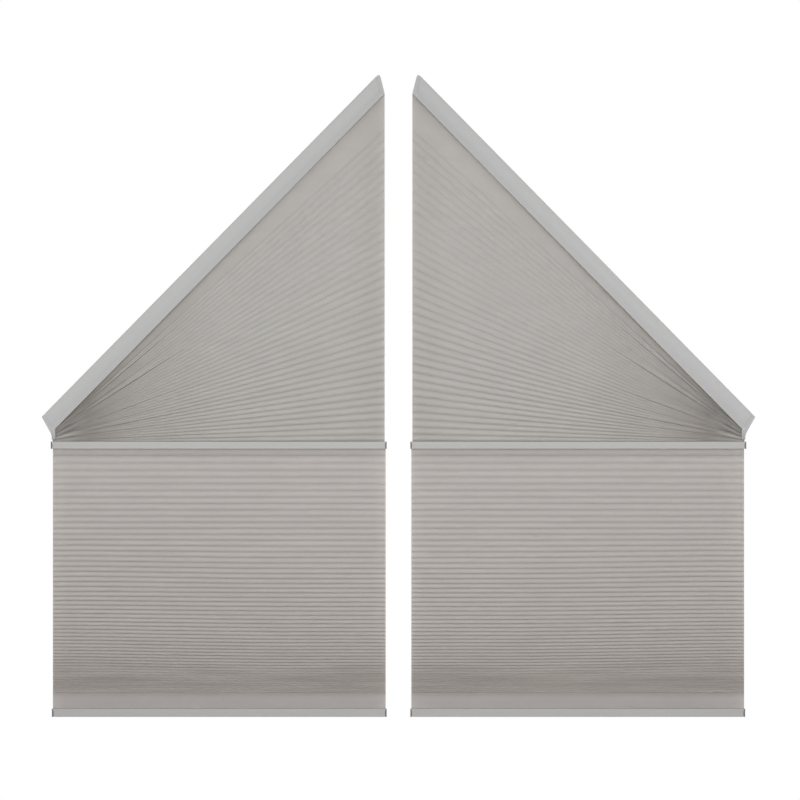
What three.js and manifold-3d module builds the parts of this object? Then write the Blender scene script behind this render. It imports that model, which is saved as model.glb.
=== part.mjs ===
// Cellular blinds for a gable window: a mirrored pair that hangs on the wall.
// Each blind has a sloping headrail, a fixed fan of honeycomb fabric, a fixed middle rail
// and a honeycomb section that lifts. A spring motor in the middle rail carries its weight.
// Lengths are millimetres and angles radians. X runs across the wall, Y into it and Z up.
// The origin lies on the wall, midway between the blinds, level with the bottom rails' undersides.
import * as THREE from "three";
import { mergeVertices } from "three/addons/utils/BufferGeometryUtils.js";
import Module from "manifold-3d";

const wasm = await Module();
wasm.setup();

// Overall sizes
const clothWidth = 649;
const pairGap = 50;
const fanSetback = 2;
const slopeDegrees = 45.5;
const pinchEdge = 20.5;
const dropHeight = 475;
const tailHeight = 31.8;
const clothToWall = 28;

// Honeycomb: one cell is clothPitch high when it is pulled open
const clothPitch = 20;
const foldShare = 0.575;
const glueWidth = 6;
const clothWall = 0.9;
const fanTopShare = 1.02;
const fanBottomShare = 0.72;
const dropTopShare = 0.704;
const dropBottomShare = 0.22;
const dropBiasShare = 1.23;
const goreHeight = 70;
const goreDepth = 13;
const crushShare = 1.5;
const fanFoldShare = 0.35;
const fewestCells = 2;

// Rails
const middleRailHeight = 14;
const bottomRailHeight = 16;
const railWall = 1;
const railReveal = 1.5;
const railInset = 1.3;
const middleRailReach = 0.9;
const railRound = 1.2;
const headrailHeight = 35;
const headrailWall = 1.6;
const headrailReveal = 5.5;
const headrailRound = 2.4;
const lipHold = 2.2;
const dropLipHold = 3;

// Stiff strips that carry the fabric's edges in the rails' grooves
const stripWidth = 24;
const stripThickness = 1;
const stripInset = 6;
const cordHoleRadius = 1.5;

// Clearance between touching pieces, and how far a cut or a join runs past a face
const gap = 0.3;
const overrun = 0.5;

// End caps
const capThickness = 3;
const capRound = 1.6;
const spigotReach = 9;
const spigotWall = 1;
const headCapThickness = 8;
const peakRound = 9;
const peakCutDegrees = 76;
const cornerCutDegrees = 60.8;
const cornerOverhang = 5.8;
const earOverhang = 2.4;
const earWidth = 7;
const earDrop = 12.5;
const earThickness = 1.8;
const hubRadius = 2.2;
const hubInset = 2;

// T slot on the rails' backs, and the wall brackets that fit it
const slotOpening = 4.4;
const slotUndercut = 8;
const slotDepth = 2.2;
const ribWall = 1.2;
const plateLength = 64;
const plateHeight = 13;
const plateThickness = 1.6;
const plateRound = 3;
const screwRadius = 2.2;
const screwSpacing = 48;
const headLength = 30;
const headrailBracketInset = 120;
const middleBracketInset = 90;

// Spring motor and cord run
const motorLength = 56;
const motorWall = 1.2;
const motorFloor = 0.8;
const motorRound = 4;
const pinRadius = 2;
const drumFlangeRadius = 11;
const drumFlange = 0.8;
const cordDrumRadius = 9;
const springDrumRadius = 10;
const cordSlot = 1.2;
const drumSpacing = 26;
const liftInset = 130;
const pulleyRadius = 2.5;
const pulleyGrooveRadius = 1.7;
const pulleyWidth = 3;
const axleRadius = 1.1;
const cheekThickness = 1.2;
const cheekLength = 9;
const cradleLength = 18;

// Cord anchors in the bottom rail
const anchorRadius = 3.8;
const anchorFlangeRadius = 6;
const anchorFlange = 1;
const anchorHoleRadius = 1;

// Steps of round shapes
const arcSteps = 4;
const holeSteps = 12;
const drumSteps = 16;
const pulleySteps = 12;

// Levels and places that follow from the sizes
const slope = THREE.MathUtils.degToRad(slopeDegrees);
const foldLength = clothPitch * foldShare;
const stackDepth = glueWidth + 2 * foldLength;
const railDepth = stackDepth + 2 * railReveal;
const headrailDepth = stackDepth + 2 * headrailReveal;
const grooveHeight = stripThickness + 2 * gap;
const grooveWidth = stripWidth + 2 * gap;
const grooveOpening = stripWidth - 2 * lipHold;
const fanWidth = clothWidth - fanSetback;
const tailBase = bottomRailHeight;
const dropBase = tailBase + tailHeight;
const middleBase = dropBase + dropHeight;
const fanBase = middleBase + middleRailHeight;
const fanPeak = fanBase + pinchEdge + fanWidth * Math.tan(slope);
const slotReach = slotDepth + ribWall;
const cavityFloor = railWall + gap + stripThickness + gap;
const cavityRoof = middleRailHeight - railWall - grooveHeight - railWall - gap;
const pulleyLevel = cavityFloor + motorFloor + gap + pulleyRadius;
const cordLevel = pulleyLevel + pulleyGrooveRadius;
const liftPlaces = [liftInset, clothWidth - liftInset];

// Materials
const paint = { color: 0xb9b9b8, roughness: 0.45, metalness: 0.15 };
const capPlastic = { color: 0x77777a, roughness: 0.55, metalness: 0 };
const cloth = { color: 0xaba8a2, roughness: 0.95, metalness: 0 };
const stripPlastic = { color: 0xd8d8d4, roughness: 0.5, metalness: 0 };
const steel = { color: 0x9a9da0, roughness: 0.35, metalness: 0.9 };
const casePlastic = { color: 0xe4e3df, roughness: 0.5, metalness: 0 };
const drumPlastic = { color: 0xf0efe9, roughness: 0.4, metalness: 0 };

// A flat shape from its corners, each [across, up] or [across, up, fillet]
function outlined(corners) {
  const shape = new THREE.Shape();
  corners.forEach((corner, i) => {
    const [across, up, fillet = 0] = corner;
    const here = new THREE.Vector2(across, up);
    const before = cornerAt(corners, i - 1);
    const after = cornerAt(corners, i + 1);
    const start = here.clone().add(before.sub(here).setLength(fillet));
    const end = here.clone().add(after.sub(here).setLength(fillet));
    if (i === 0) shape.moveTo(start.x, start.y);
    else shape.lineTo(start.x, start.y);
    if (fillet > 0) shape.quadraticCurveTo(across, up, end.x, end.y);
  });
  shape.closePath();
  return shape;
}

function cornerAt(corners, i) {
  const [across, up] = corners[(i + corners.length) % corners.length];
  return new THREE.Vector2(across, up);
}

function rectangle(left, low, right, high, fillet = 0) {
  return [
    [left, low, fillet],
    [right, low, fillet],
    [right, high, fillet],
    [left, high, fillet],
  ];
}

// A shape in the YZ plane run along X; start and end give X, or X for each point of the section
function alongX(shape, start, end) {
  const geometry = new THREE.ExtrudeGeometry(shape, extrusion(1));
  const startAt = typeof start === "function" ? start : () => start;
  const endAt = typeof end === "function" ? end : () => end;
  const points = geometry.getAttribute("position");
  for (let i = 0; i < points.count; i++) {
    const y = points.getX(i);
    const z = points.getY(i);
    const x = points.getZ(i) === 0 ? startAt(z) : endAt(z);
    points.setXYZ(i, x, y, z);
  }
  return geometry;
}

// A shape in the XZ plane run along Y
function alongY(shape, near, far) {
  const geometry = new THREE.ExtrudeGeometry(shape, extrusion(far - near));
  return geometry.rotateX(Math.PI / 2).translate(0, far, 0);
}

// A shape in the XY plane run along Z
function alongZ(shape, low, high) {
  const geometry = new THREE.ExtrudeGeometry(shape, extrusion(high - low));
  return geometry.translate(0, 0, low);
}

function extrusion(depth) {
  return { depth, bevelEnabled: false, curveSegments: arcSteps };
}

// A turned piece on the Z axis from its closed [radius, height] profile
function turned(profile, steps) {
  const points = [...profile, profile[0]].map(([radius, height]) => new THREE.Vector2(radius, height));
  return new THREE.LatheGeometry(points, steps).rotateX(Math.PI / 2);
}

function rod(radius, length, steps = holeSteps) {
  return new THREE.CylinderGeometry(radius, radius, length, steps);
}

// Joins and cuts
function solid(geometry) {
  const bare = new THREE.BufferGeometry();
  bare.setAttribute("position", geometry.getAttribute("position"));
  bare.setIndex(geometry.getIndex());
  const welded = mergeVertices(bare);
  const mesh = new wasm.Mesh({
    numProp: 3,
    vertProperties: welded.getAttribute("position").array,
    triVerts: new Uint32Array(welded.getIndex().array),
  });
  return new wasm.Manifold(mesh);
}

function geometryOf(body) {
  const mesh = body.getMesh();
  const geometry = new THREE.BufferGeometry();
  geometry.setAttribute("position", new THREE.BufferAttribute(mesh.vertProperties, mesh.numProp));
  geometry.setIndex(new THREE.BufferAttribute(mesh.triVerts, 1));
  return geometry;
}

function joined(first, ...others) {
  return geometryOf(others.reduce((body, other) => body.add(solid(other)), solid(first)));
}

function cut(first, ...others) {
  return geometryOf(others.reduce((body, other) => body.subtract(solid(other)), solid(first)));
}

// Rail sections, as corners in the YZ plane with Y = 0 on the fabric's middle
function backSlot(back, middle) {
  const half = slotUndercut / 2;
  const rib = [
    [back, half + ribWall],
    [back + slotReach, half + ribWall],
    [back + slotReach, slotOpening / 2],
    [back + slotDepth, slotOpening / 2],
    [back + slotDepth, half],
    [back, half],
  ];
  const lower = rib.map(([y, z]) => [y, middle - z]);
  const upper = rib.map(([y, z]) => [y, middle + z]).reverse();
  return [...lower, ...upper];
}

function topGroove(height, wall) {
  const floor = height - wall - grooveHeight;
  return [
    [grooveOpening / 2, height],
    [grooveOpening / 2, height - wall],
    [grooveWidth / 2, height - wall],
    [grooveWidth / 2, floor],
    [-grooveWidth / 2, floor],
    [-grooveWidth / 2, height - wall],
    [-grooveOpening / 2, height - wall],
    [-grooveOpening / 2, height],
  ];
}

function flipped(corners, height) {
  return corners.map(([y, z, fillet]) => [y, height - z, fillet]).reverse();
}

function headrailSection() {
  const half = headrailDepth / 2;
  const corners = [
    [-half, 0, headrailRound],
    [half, 0, headrailRound],
    ...backSlot(half, headrailHeight / 2),
    [half, headrailHeight],
    ...topGroove(headrailHeight, headrailWall),
    [-half, headrailHeight],
  ];
  return outlined(flipped(corners, headrailHeight));
}

function headrailCavity() {
  const half = headrailDepth / 2 - headrailWall;
  return {
    left: -half,
    right: half,
    low: 2 * headrailWall + grooveHeight,
    high: headrailHeight - headrailWall,
  };
}

function middleRailSection() {
  const half = railDepth / 2;
  const inside = half - railWall;
  const opening = inside - dropLipHold;
  const roof = cavityRoof + gap;
  return outlined([
    [opening, 0],
    [half, 0, railRound],
    ...backSlot(half, middleRailHeight / 2),
    [half, middleRailHeight, railRound],
    ...topGroove(middleRailHeight, railWall),
    [-half, middleRailHeight, railRound],
    [-half, 0, railRound],
    [-opening, 0],
    [-opening, railWall],
    [-inside, railWall],
    [-inside, roof],
    [inside, roof],
    [inside, railWall],
    [opening, railWall],
  ]);
}

function bottomRailSection() {
  const half = railDepth / 2;
  return outlined([
    [-half, 0, railRound],
    [half, 0, railRound],
    [half, bottomRailHeight, railRound],
    ...topGroove(bottomRailHeight, railWall),
    [-half, bottomRailHeight, railRound],
  ]);
}

function bottomRailCavity() {
  const half = railDepth / 2 - railWall;
  return { left: -half, right: half, low: railWall, high: bottomRailHeight - 2 * railWall - grooveHeight };
}

function middleRailCavity() {
  const half = railDepth / 2 - railWall;
  return { left: -half, right: half, low: cavityFloor - gap, high: cavityRoof + gap };
}

// Rails along X, which is 0 at the inner edge of the hanging cloth. Their caps cover the cloth's corners,
// and the middle rail's outer end runs past the cloth, under the headrail's low end.
const railStart = railInset;
const middleRailEnd = clothWidth + middleRailReach;
const bottomRailEnd = clothWidth - railInset;

function drillsAtLifts(radius, low, high) {
  return liftPlaces.map((x) => {
    const drill = rod(radius, high - low).rotateX(Math.PI / 2);
    return drill.translate(x, 0, (low + high) / 2);
  });
}

function middleRail() {
  return alongX(middleRailSection(), railStart, middleRailEnd);
}

function bottomRail() {
  const rail = alongX(bottomRailSection(), railStart, bottomRailEnd);
  const bore = alongX(boxShape(bottomRailCavity()), railStart - overrun, bottomRailEnd + overrun);
  const webFloor = bottomRailCavity().high;
  const anchorHoles = drillsAtLifts(anchorRadius + gap, -overrun, railWall + overrun);
  const cordHoles = drillsAtLifts(cordHoleRadius, webFloor - overrun, webFloor + railWall + overrun);
  return cut(rail, bore, ...anchorHoles, ...cordHoles);
}

// A flat cap with a hollow spigot; it closes a rail's end at x and faces away along side
function railCap(x, side, height, box) {
  const outside = x + side * capThickness;
  const plateShape = outlined(rectangle(-railDepth / 2, 0, railDepth / 2, height, capRound));
  const plate = alongX(plateShape, Math.min(x, outside), Math.max(x, outside));
  const inside = x - side * spigotReach;
  const bodyEnds = [inside, x + side * overrun].sort((a, b) => a - b);
  const boreEnds = [inside - side * overrun, x].sort((a, b) => a - b);
  const spigot = alongX(boxShape(box, gap), ...bodyEnds);
  return cut(joined(plate, spigot), alongX(boxShape(box, gap + spigotWall), ...boreEnds));
}

// The section of a rail's cavity, drawn in by an inset all round
function boxShape(box, inset = 0) {
  return outlined(rectangle(box.left + inset, box.low + inset, box.right - inset, box.high - inset));
}

// Sloping headrail, modelled level with X running down the slope from the peak
function leanOf(cutDegrees) {
  return Math.tan(THREE.MathUtils.degToRad(cutDegrees) - (Math.PI / 2 - slope));
}

const peakLean = leanOf(peakCutDegrees);
const cornerLean = leanOf(cornerCutDegrees);
const headrailRun = fanWidth / Math.cos(slope) + cornerOverhang;
const peakCapRun = headCapThickness * Math.hypot(1, peakLean);
const cornerCapRun = headCapThickness * Math.hypot(1, cornerLean);

function peakFace(z) {
  return -z * peakLean;
}

function cornerFace(z) {
  return headrailRun - z * cornerLean;
}

function railPeakEnd(z) {
  return peakFace(z) + peakCapRun;
}

function railCornerEnd(z) {
  return cornerFace(z) - cornerCapRun;
}

function headrail() {
  const rail = alongX(headrailSection(), (z) => railPeakEnd(z) + gap, (z) => railCornerEnd(z) - gap);
  return cut(rail, alongX(boxShape(headrailCavity()), railPeakEnd, railCornerEnd));
}

function headrailBox(inset, start, end) {
  return alongX(boxShape(headrailCavity(), inset), start, end);
}

function peakCap() {
  const face = outlined([
    [peakFace(0), 0],
    [railPeakEnd(0), 0],
    [railPeakEnd(headrailHeight), headrailHeight],
    [peakFace(headrailHeight), headrailHeight, peakRound],
  ]);
  const plate = alongY(face, -headrailDepth / 2, headrailDepth / 2);
  const tip = (z) => railPeakEnd(z) + spigotReach;
  const spigot = headrailBox(gap, (z) => railPeakEnd(z) - overrun, tip);
  const bore = headrailBox(gap + spigotWall, railPeakEnd, (z) => tip(z) + overrun);
  return cut(joined(plate, spigot), bore);
}

function cornerCap() {
  const face = outlined([
    [railCornerEnd(0), 0],
    [cornerFace(0), 0],
    [cornerFace(headrailHeight), headrailHeight, capRound],
    [railCornerEnd(headrailHeight), headrailHeight],
  ]);
  const plate = alongY(face, -headrailDepth / 2, headrailDepth / 2);
  const tip = (z) => railCornerEnd(z) - spigotReach;
  const spigot = headrailBox(gap, tip, (z) => railCornerEnd(z) + overrun);
  const bore = headrailBox(gap + spigotWall, (z) => tip(z) - overrun, railCornerEnd);
  const ears = [-1, 1].map((side) => {
    const outer = (side * headrailDepth) / 2;
    const inner = outer - side * earThickness;
    return alongY(outlined(earCorners()), Math.min(inner, outer), Math.max(inner, outer));
  });
  return cut(joined(plate, spigot, ...ears), bore);
}

// The ear hangs straight down beside the pinched corner, so its corners are turned into the slope's frame
function earCorners() {
  const capFoot = fromSlope(cornerFace(0), 0);
  const capRoot = fromSlope(cornerFace(headCapThickness), headCapThickness);
  const outer = fanWidth + earOverhang;
  const inner = outer - earWidth;
  const low = capFoot.y - earDrop;
  const innerHigh = fanPeak - (gap / Math.cos(slope) + inner * Math.tan(slope));
  const capInside = fromSlope(railCornerEnd(0), 0);
  const level = [
    [inner, low, capRound],
    [outer, low, capRound / 2],
    [outer, capFoot.y - earDrop / 2],
    [capFoot.x, capFoot.y],
    [capRoot.x - overrun, capRoot.y],
    [capInside.x + overrun, capInside.y + overrun],
    [capInside.x + overrun, fanPeak - gap / Math.cos(slope) - (capInside.x + overrun) * Math.tan(slope)],
    [inner, innerHigh],
  ];
  return level.map(([x, z, fillet]) => [...toSlope(x, z), fillet]);
}

// Between the level frame and the slope's frame
function fromSlope(along, up) {
  return new THREE.Vector2(
    along * Math.cos(slope) + up * Math.sin(slope),
    fanPeak - along * Math.sin(slope) + up * Math.cos(slope),
  );
}

function toSlope(x, z) {
  const drop = fanPeak - z;
  return [x * Math.cos(slope) + drop * Math.sin(slope), x * Math.sin(slope) - drop * Math.cos(slope)];
}

// Fabric strips
function fanHeadStrip() {
  const low = headrailWall + gap;
  const shape = outlined(rectangle(-stripWidth / 2, low, stripWidth / 2, low + stripThickness));
  return alongX(shape, (z) => railPeakEnd(z) + stripInset, (z) => railCornerEnd(z) - stripInset);
}

function fanFootStrip() {
  const low = middleRailHeight - railWall - gap - stripThickness;
  const shape = outlined(rectangle(-stripWidth / 2, low, stripWidth / 2, low + stripThickness));
  return alongX(shape, stripInset, clothWidth - stripInset);
}

function dropHeadStrip() {
  const half = railDepth / 2 - railWall - gap;
  const low = railWall + gap;
  const shape = outlined(rectangle(-half, low, half, low + stripThickness));
  const strip = alongX(shape, railStart + spigotReach + gap, middleRailEnd - spigotReach - gap);
  return cut(strip, ...drillsAtLifts(cordHoleRadius, low - overrun, low + stripThickness + overrun));
}

// Honeycomb: heights of the cells that fill a height, from the last one up to the first
function cellHeights(total, firstShare, lastShare, bias) {
  const meanShare = lastShare + (firstShare - lastShare) / (bias + 1);
  const count = Math.max(fewestCells, Math.round(total / (clothPitch * meanShare)));
  const weights = Array.from({ length: count }, (_, i) => {
    return lastShare + (firstShare - lastShare) * (1 - i / (count - 1)) ** bias;
  });
  const sum = weights.reduce((a, b) => a + b);
  return weights.map((weight) => (weight * total) / sum);
}

// How far a cell's nose stands out from its glue line
function foldRun(height) {
  return Math.sqrt(foldLength ** 2 - (height / 2) ** 2);
}

// Corners of the space inside a cell, as [depth, height above the cell's middle] of its front half
function cellSpace(height, glueHalf, run) {
  const half = height / 2;
  const nose = glueHalf + run - (clothWall * Math.hypot(half, run)) / half;
  const high = half - clothWall;
  return { nose, high, corner: nose - (high * run) / half };
}

function dropFabric() {
  const heights = cellHeights(dropHeight - 2 * gap, dropTopShare, dropBottomShare, dropBiasShare);
  const glueHalf = glueWidth / 2;
  const front = [];
  const spaces = [];
  let top = dropHeight - gap;
  heights.forEach((height) => {
    const middle = top - height / 2;
    const run = foldRun(height);
    front.push([-glueHalf, top], [-glueHalf - run, middle]);
    const space = cellSpace(height, glueHalf, run);
    spaces.push([-overrun, clothWidth + overrun].map((x) => cellRing(space, x, middle)));
    top -= height;
  });
  front.push([-glueHalf, top]);
  const back = front.map(([y, z]) => [-y, z]).reverse();
  const cells = cut(alongX(outlined([...front, ...back]), 0, clothWidth), mergedSpaces(spaces));
  return joined(cells, dropNeck());
}

// The cloth's top edge reaches up through the middle rail's opening to its strip
function dropNeck() {
  const high = dropHeight + railWall - gap;
  const shape = outlined(rectangle(-glueWidth / 2, dropHeight - gap - overrun, glueWidth / 2, high));
  return alongX(shape, stripInset, clothWidth - stripInset);
}

// The six corners of a cell's inner space at one place along the cell
function cellRing(space, x, middle) {
  return [
    [x, -space.corner, middle - space.high],
    [x, space.corner, middle - space.high],
    [x, space.nose, middle],
    [x, space.corner, middle + space.high],
    [x, -space.corner, middle + space.high],
    [x, -space.nose, middle],
  ];
}

// Fan: folds run from the pinched edge to the tall edge, at the same share of both edges.
// X is 0 at the tall edge, where the headrail's peak is too.
const pinchPlace = fanWidth - hubInset - hubRadius - gap;
const fanLow = fanBase + gap;

function fanTop(x) {
  return fanPeak - gap / Math.cos(slope) - x * Math.tan(slope);
}

function fanFolds() {
  const tall = fanTop(0) - fanLow;
  const cells = cellHeights(tall - goreHeight, fanTopShare, fanBottomShare, 1);
  const folds = [{ share: 1, glued: true, gore: true }];
  let level = tall - goreHeight;
  folds.push({ share: level / tall, glued: true, pitch: cells[0] });
  cells.forEach((height, i) => {
    folds.push({ share: (level - height / 2) / tall, glued: false, pitch: height });
    level -= height;
    const next = cells[i + 1] ?? height;
    folds.push({ share: Math.max(0, level / tall), glued: true, pitch: (height + next) / 2 });
  });
  return folds;
}

// A fold's height and depth at a share of the way from the pinched edge to the tall one
function foldAt(fold, along) {
  const x = pinchPlace * (1 - along);
  const height = fanTop(x) - fanLow;
  const opened = height / (fanTop(0) - fanLow);
  const z = fanLow + fold.share * height;
  if (fold.gore) return { x, z, depth: goreDepth / 2, glued: true };
  const pitch = fold.pitch * opened;
  const run = foldRun(pitch);
  const nose = glueWidth / 2 + run;
  const depth = fold.glued ? nose - Math.min(run, crushShare * pitch) : nose;
  return { x, z, depth, glued: fold.glued };
}

function fanFabric() {
  const folds = fanFolds();
  const stations = [0, fanFoldShare, 1];
  const rows = stations.map((along) => folds.map((fold) => foldAt(fold, along)));
  const sheet = closedWedge(rows);
  const spaces = [];
  for (let i = 1; i + 2 < folds.length; i += 2) {
    spaces.push(cellTaper(rows, i));
  }
  const pockets = mergedSpaces(spaces);
  const hollowed = solid(sheet).subtract(solid(pockets));
  return geometryOf(hollowed.add(solid(fanHeadNeck())).add(solid(fanFootNeck())));
}

// Two triangles of a quad, split from its first corner, or from its second when turned.
// The skin and the cells' spaces split alike, so the wall between them keeps its thickness.
function splitQuad([a, b, c, d], turned) {
  return turned ? [b, c, d, b, d, a] : [a, b, c, a, c, d];
}

// The closed skin between the front and back folds of every row
function closedWedge(rows) {
  const count = rows[0].length;
  const points = [];
  rows.forEach((row) => {
    row.forEach((fold) => points.push(fold.x, -fold.depth, fold.z));
    row.forEach((fold) => points.push(fold.x, fold.depth, fold.z));
  });
  const front = (row, i) => row * 2 * count + i;
  const back = (row, i) => front(row, i) + count;
  const faces = [];
  const quad = (a, b, c, d) => faces.push(...splitQuad([a, b, c, d], false));
  const last = rows.length - 1;
  for (let row = 0; row < last; row++) {
    for (let i = 0; i + 1 < count; i++) {
      const glued = rows[row][i].glued;
      const near = [front(row, i), front(row + 1, i), front(row + 1, i + 1), front(row, i + 1)];
      const far = [back(row, i), back(row, i + 1), back(row + 1, i + 1), back(row + 1, i)];
      faces.push(...splitQuad(near, glued), ...splitQuad(far, glued));
    }
    quad(front(row, 0), back(row, 0), back(row + 1, 0), front(row + 1, 0));
    const end = count - 1;
    quad(front(row, end), front(row + 1, end), back(row + 1, end), back(row, end));
  }
  for (let i = 0; i + 1 < count; i++) {
    quad(front(0, i), front(0, i + 1), back(0, i + 1), back(0, i));
    quad(front(last, i), back(last, i), back(last, i + 1), front(last, i + 1));
  }
  const wedge = new THREE.BufferGeometry();
  wedge.setAttribute("position", new THREE.Float32BufferAttribute(points, 3));
  wedge.setIndex(faces);
  return wedge;
}

// The tapering space in one cell of the fan, from its inner end to past the tall edge
function cellTaper(rows, top) {
  const rings = rows.slice(1).map((row) => {
    const high = row[top];
    const low = row[top + 2];
    const middle = row[top + 1];
    const height = high.z - low.z;
    const glueHalf = Math.max(high.depth, low.depth);
    const space = cellSpace(height, glueHalf, middle.depth - glueHalf);
    return cellRing(space, middle.x, middle.z);
  });
  const [inner, outer] = rings;
  const past = outer.map((corner, i) => {
    const reach = overrun / (corner[0] - inner[i][0]);
    return corner.map((value, k) => value - (value - inner[i][k]) * reach);
  });
  return [past, inner];
}

function mergedSpaces(spaces) {
  const points = [];
  const faces = [];
  spaces.forEach(([inner, outer]) => {
    const base = points.length / 3;
    const sides = inner.length;
    points.push(...inner.flat(), ...outer.flat());
    for (let i = 0; i < sides; i++) {
      const next = (i + 1) % sides;
      const side = [base + i, base + next, base + sides + next, base + sides + i];
      const startsAtNose = i % (sides / 2) === sides / 2 - 1;
      faces.push(...splitQuad(side, startsAtNose));
    }
    for (let i = 1; i + 1 < sides; i++) {
      faces.push(base, base + i + 1, base + i);
      faces.push(base + sides, base + sides + i, base + sides + i + 1);
    }
  });
  const geometry = new THREE.BufferGeometry();
  geometry.setAttribute("position", new THREE.Float32BufferAttribute(points, 3));
  geometry.setIndex(faces);
  return geometry;
}

// The fan's edges reach through the grooves' openings to the strips
function fanHeadNeck() {
  const low = -gap - overrun;
  const shape = outlined(rectangle(-glueWidth / 2, low, glueWidth / 2, headrailWall));
  const neck = alongX(shape, railPeakEnd(0) + stripInset, toSlope(pinchPlace, fanTop(pinchPlace))[0]);
  return neck.rotateY(slope).translate(0, 0, fanPeak);
}

function fanFootNeck() {
  const shape = outlined(rectangle(-glueWidth / 2, fanBase - railWall, glueWidth / 2, fanLow + overrun));
  return alongX(shape, stripInset, pinchPlace - stripInset);
}

// Unpleated band: a flat cell of the same cloth
function tailPanel() {
  const half = stripWidth / 2;
  const glueHalf = glueWidth / 2;
  const shoulder = tailHeight - (half - glueHalf) / 2;
  const shape = outlined([
    [-half, gap],
    [half, gap],
    [half, shoulder],
    [glueHalf, tailHeight],
    [-glueHalf, tailHeight],
    [-half, shoulder],
  ]);
  const inside = half - clothWall;
  const hollow = [
    [-inside, gap + clothWall],
    [inside, gap + clothWall],
    [inside, shoulder - clothWall / 2],
    [glueHalf, tailHeight - clothWall],
    [-glueHalf, tailHeight - clothWall],
    [-inside, shoulder - clothWall / 2],
  ];
  shape.holes.push(outlined(hollow));
  return joined(alongX(shape, 0, clothWidth), tailFoot());
}

// The band's foot slides in the bottom rail's groove, between the end caps
function tailFoot() {
  const half = stripWidth / 2;
  const glueHalf = glueWidth / 2;
  const high = -railWall - gap;
  const shape = outlined([
    [-half, high - stripThickness],
    [half, high - stripThickness],
    [half, high],
    [glueHalf, high],
    [glueHalf, gap + overrun],
    [-glueHalf, gap + overrun],
    [-glueHalf, high],
    [-half, high],
  ]);
  return alongX(shape, stripInset, clothWidth - stripInset);
}

// Wall bracket: a plate on the wall and a T head that sits in a rail's back slot.
// Its middle is at [0, wall, 0] and back is how far the rail's back lies from the wall.
function wallBracket(back) {
  const plateShape = outlined(
    rectangle(-plateLength / 2, -plateHeight / 2, plateLength / 2, plateHeight / 2, plateRound),
  );
  const plate = alongY(plateShape, -plateThickness, 0);
  const drills = [-1, 1].map((side) => {
    const drill = rod(screwRadius, 2 * plateThickness);
    return drill.translate((side * screwSpacing) / 2, -plateThickness / 2, 0);
  });
  const stemHalf = slotOpening / 2 - gap;
  const headHalf = slotUndercut / 2 - gap;
  const headFace = -back + gap;
  const headBack = -back + slotDepth - gap;
  const stem = outlined([
    [-plateThickness + overrun, -stemHalf],
    [-plateThickness + overrun, stemHalf],
    [headBack, stemHalf],
    [headBack, headHalf],
    [headFace, headHalf],
    [headFace, -headHalf],
    [headBack, -headHalf],
    [headBack, -stemHalf],
  ]);
  return cut(joined(plate, alongX(stem, -headLength / 2, headLength / 2)), ...drills);
}

const headrailBack = clothToWall - headrailDepth / 2;
const middleBack = clothToWall - railDepth / 2;

function headrailBracket(along) {
  return wallBracket(headrailBack).translate(along, clothToWall, headrailHeight / 2);
}

function middleBracket(x) {
  return wallBracket(middleBack).translate(x, clothToWall, middleRailHeight / 2);
}

// Spring motor: a tray with two pins, its lid and two drums
const motorMiddle = clothWidth / 2;
const motorHalf = railDepth / 2 - railWall - gap;
const lidLow = cavityRoof - motorFloor;
const drumPlaces = [motorMiddle - drumSpacing / 2, motorMiddle + drumSpacing / 2];

function motorOutline(inset = 0) {
  const half = motorHalf - inset;
  const end = motorLength / 2 - inset;
  const left = motorMiddle - end;
  return outlined(rectangle(left, -half, left + 2 * end, half, motorRound - inset));
}

function motorPins(radius, low, high) {
  return drumPlaces.map((x) => {
    const pin = rod(radius, high - low).rotateX(Math.PI / 2);
    return pin.translate(x, 0, (low + high) / 2);
  });
}

function motorCase() {
  const body = alongZ(motorOutline(), cavityFloor, lidLow - gap);
  const hollow = alongZ(motorOutline(motorWall), cavityFloor + motorFloor, lidLow + overrun);
  const slotLow = cordLevel - cordSlot / 2;
  const cordWays = [-1, 1].map((side) => {
    const wall = motorMiddle + (side * motorLength) / 2;
    const y = side * cordDrumRadius;
    const shape = outlined(rectangle(y - cordSlot / 2, slotLow, y + cordSlot / 2, lidLow + overrun));
    return alongX(shape, wall - motorWall - overrun, wall + motorWall + overrun);
  });
  const tray = solid(cut(body, hollow, ...cordWays));
  const pins = motorPins(pinRadius, cavityFloor + motorFloor / 2, cavityRoof - motorFloor / 2);
  return geometryOf(pins.reduce((body, pin) => body.add(solid(pin)), tray));
}

function motorLid() {
  const plate = alongZ(motorOutline(), lidLow, cavityRoof);
  return cut(plate, ...motorPins(pinRadius + gap, lidLow - overrun, cavityRoof + overrun));
}

const drumLow = cavityFloor + motorFloor + gap;
const drumHigh = lidLow - gap;
const grooveLow = cordLevel - cordSlot / 2;

function cordDrum() {
  const profile = [
    [pinRadius + gap, drumLow],
    [drumFlangeRadius, drumLow],
    [drumFlangeRadius, drumLow + drumFlange],
    [cordDrumRadius, drumLow + drumFlange],
    [cordDrumRadius, grooveLow - drumFlange],
    [drumFlangeRadius, grooveLow - drumFlange],
    [drumFlangeRadius, grooveLow],
    [cordDrumRadius, grooveLow],
    [cordDrumRadius, grooveLow + cordSlot],
    [drumFlangeRadius, grooveLow + cordSlot],
    [drumFlangeRadius, drumHigh],
    [pinRadius + gap, drumHigh],
  ];
  return turned(profile, drumSteps).translate(drumPlaces[0], 0, 0);
}

function springDrum() {
  const high = grooveLow - gap;
  const profile = [
    [pinRadius + gap, drumLow],
    [drumFlangeRadius, drumLow],
    [drumFlangeRadius, drumLow + drumFlange],
    [springDrumRadius, drumLow + drumFlange],
    [springDrumRadius, high - drumFlange],
    [drumFlangeRadius, high - drumFlange],
    [drumFlangeRadius, high],
    [pinRadius + gap, high],
  ];
  return turned(profile, drumSteps).translate(drumPlaces[1], 0, 0);
}

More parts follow.
